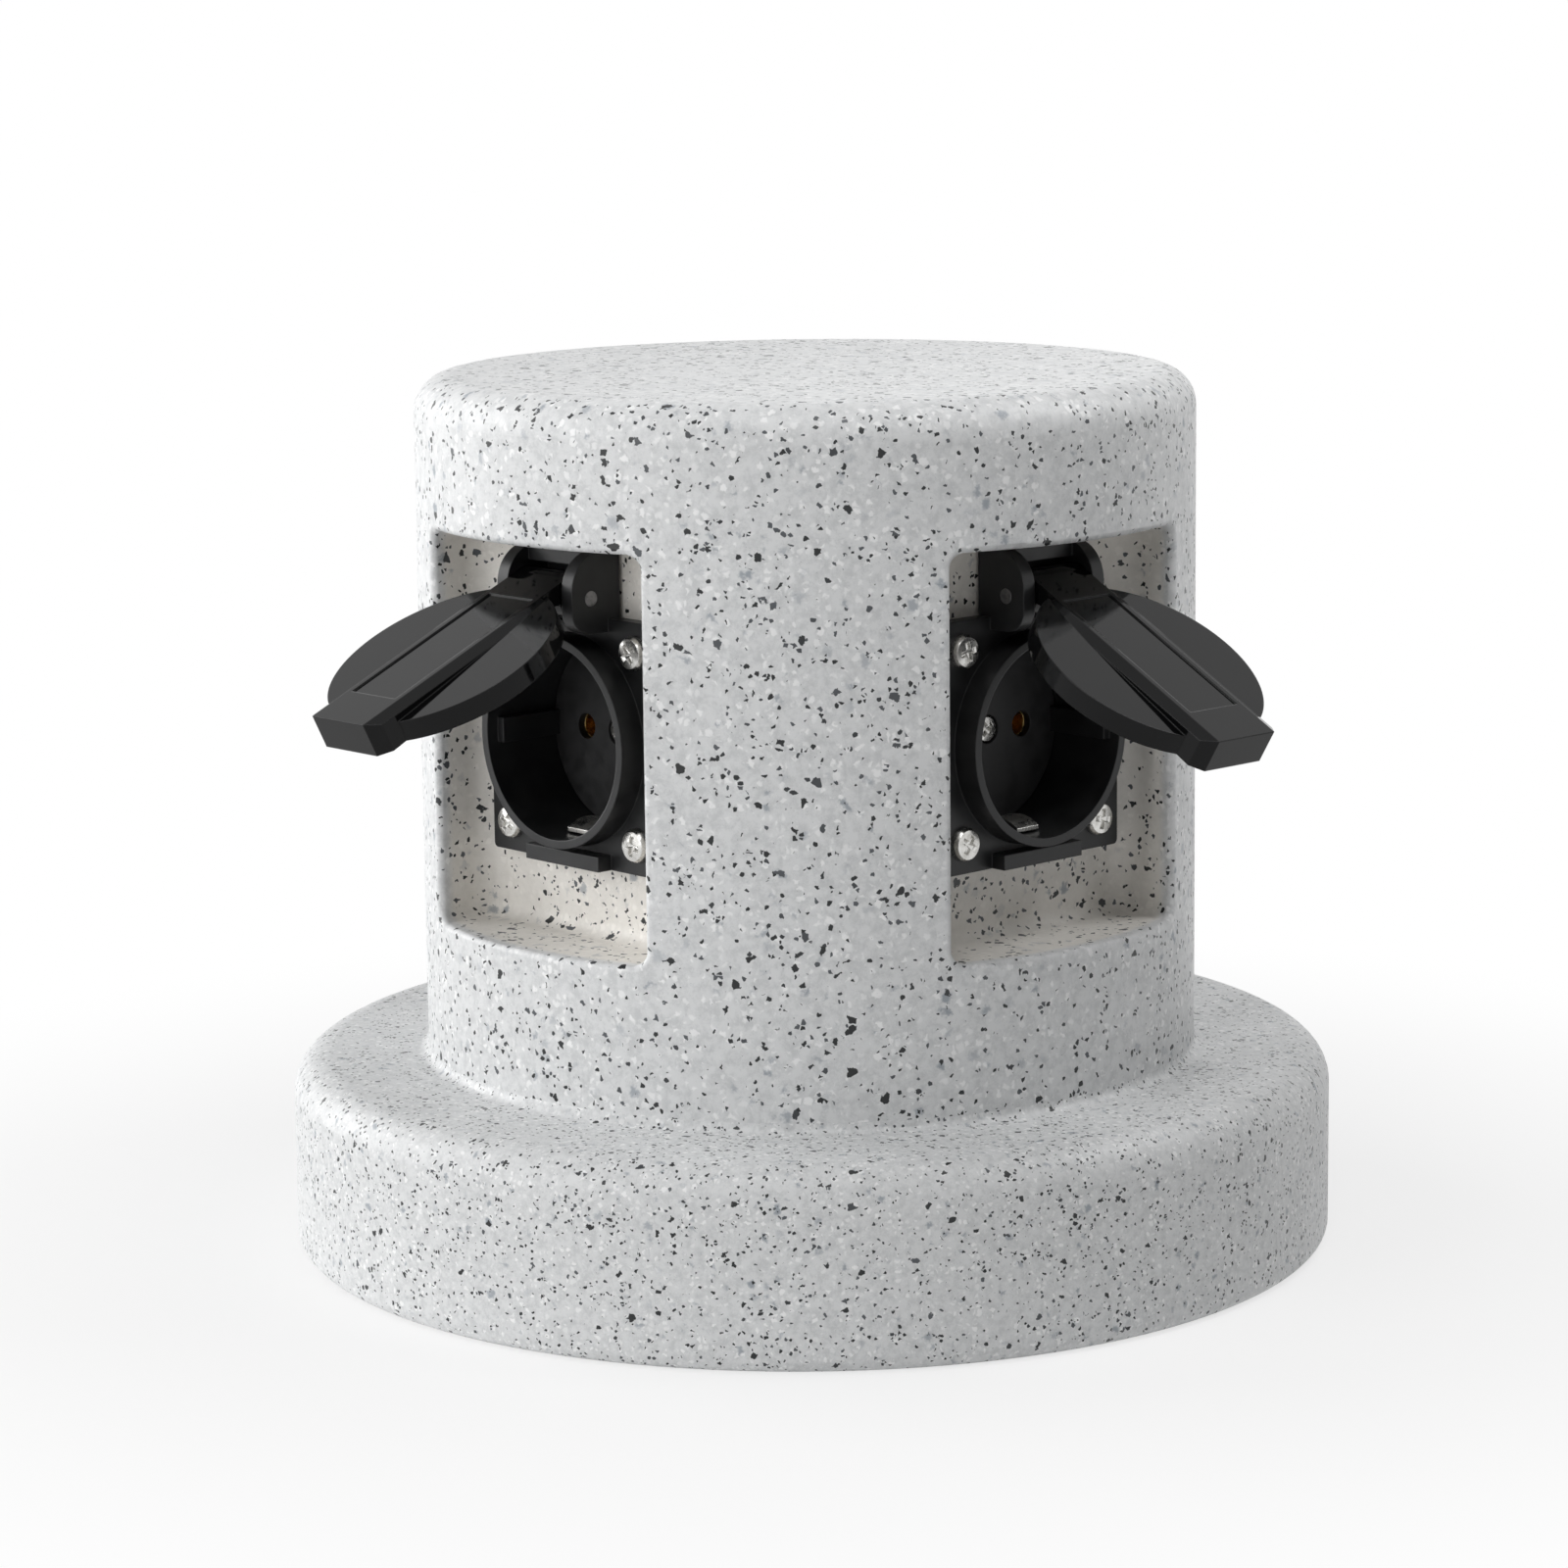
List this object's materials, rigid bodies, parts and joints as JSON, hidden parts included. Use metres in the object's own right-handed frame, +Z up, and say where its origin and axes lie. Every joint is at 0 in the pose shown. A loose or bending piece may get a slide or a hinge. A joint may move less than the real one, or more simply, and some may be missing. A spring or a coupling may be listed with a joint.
{
  "type": "garden socket post",
  "caption": "Low round post in stone-look plastic with a wide foot, a recess in each of its sides and a panel socket under a hinged black lid in every recess.",
  "frame": {"origin": "on the post's axis at floor level, in the middle of the base plate's underside", "axes": "+Z up; -Y is the way the front socket faces and +X the way the right socket faces, both of which show in the picture"},
  "size_m": [0.2284, 0.2301, 0.18],
  "materials": {
    "stone_plastic": "satin, off-white with grey and black flecks",
    "socket_plastic": "semi-matte black",
    "lid_plastic": "glossy black",
    "gasket_rubber": "matte black",
    "screw_steel": "bright nickel",
    "pin_steel": "plain steel",
    "carrier_plastic": "matte black",
    "contact_brass": "plain brass",
    "spring_steel": "tinned spring strip",
    "plate_plastic": "matte black",
    "gland_plastic": "satin black",
    "connector_plastic": "light grey",
    "lever_plastic": "orange",
    "brown_insulation": "brown sleeve",
    "green_insulation": "green and yellow sleeve",
    "blue_insulation": "blue sleeve"
  },
  "bodies": {
    "post": {"post_housing": "stone_plastic", "base_plate": "plate_plastic", "base_plate_screws": "screw_steel", "gland_body": "gland_plastic", "gland_washer": "gasket_rubber", "gland_lock_nut": "gland_plastic", "gland_seal": "gasket_rubber", "gland_dome_nut": "gland_plastic", "connector_bodies": "connector_plastic", "connector_levers": "lever_plastic", "live_wires": "brown_insulation", "earth_wires": "green_insulation", "neutral_wires": "blue_insulation", "socket_body_front": "socket_plastic", "flange_gasket_front": "gasket_rubber", "flange_screws_front": "screw_steel", "hinge_pin_front": "pin_steel", "contact_carrier_front": "carrier_plastic", "contact_sleeves_front": "contact_brass", "earth_clip_front": "spring_steel", "carrier_screw_front": "screw_steel", "socket_body_right": "socket_plastic", "flange_gasket_right": "gasket_rubber", "flange_screws_right": "screw_steel", "hinge_pin_right": "pin_steel", "contact_carrier_right": "carrier_plastic", "contact_sleeves_right": "contact_brass", "earth_clip_right": "spring_steel", "carrier_screw_right": "screw_steel", "socket_body_rear": "socket_plastic", "flange_gasket_rear": "gasket_rubber", "flange_screws_rear": "screw_steel", "hinge_pin_rear": "pin_steel", "contact_carrier_rear": "carrier_plastic", "contact_sleeves_rear": "contact_brass", "earth_clip_rear": "spring_steel", "carrier_screw_rear": "screw_steel", "socket_body_left": "socket_plastic", "flange_gasket_left": "gasket_rubber", "flange_screws_left": "screw_steel", "hinge_pin_left": "pin_steel", "contact_carrier_left": "carrier_plastic", "contact_sleeves_left": "contact_brass", "earth_clip_left": "spring_steel", "carrier_screw_left": "screw_steel"},
    "lid_front": {"lid_front": "lid_plastic", "lid_seal_front": "gasket_rubber"},
    "lid_right": {"lid_right": "lid_plastic", "lid_seal_right": "gasket_rubber"},
    "lid_rear": {"lid_rear": "lid_plastic", "lid_seal_rear": "gasket_rubber"},
    "lid_left": {"lid_left": "lid_plastic", "lid_seal_left": "gasket_rubber"}
  },
  "joints": [
    {"name": "lid_front_hinge", "type": "hinge", "parent": "post", "child": "lid_front", "pos_m": [0, -0.0682, 0.1404], "axis": [-1, 0, 0], "range_deg": [-63.2, 41.8]},
    {"name": "lid_right_hinge", "type": "hinge", "parent": "post", "child": "lid_right", "pos_m": [0.0682, 0, 0.1404], "axis": [0, -1, 0], "range_deg": [-58.6, 46.4]},
    {"name": "lid_rear_hinge", "type": "hinge", "parent": "post", "child": "lid_rear", "pos_m": [0, 0.0682, 0.1404], "axis": [1, 0, 0], "range_deg": [0, 105]},
    {"name": "lid_left_hinge", "type": "hinge", "parent": "post", "child": "lid_left", "pos_m": [-0.0682, 0, 0.1404], "axis": [0, 1, 0], "range_deg": [0, 105]}
  ]
}
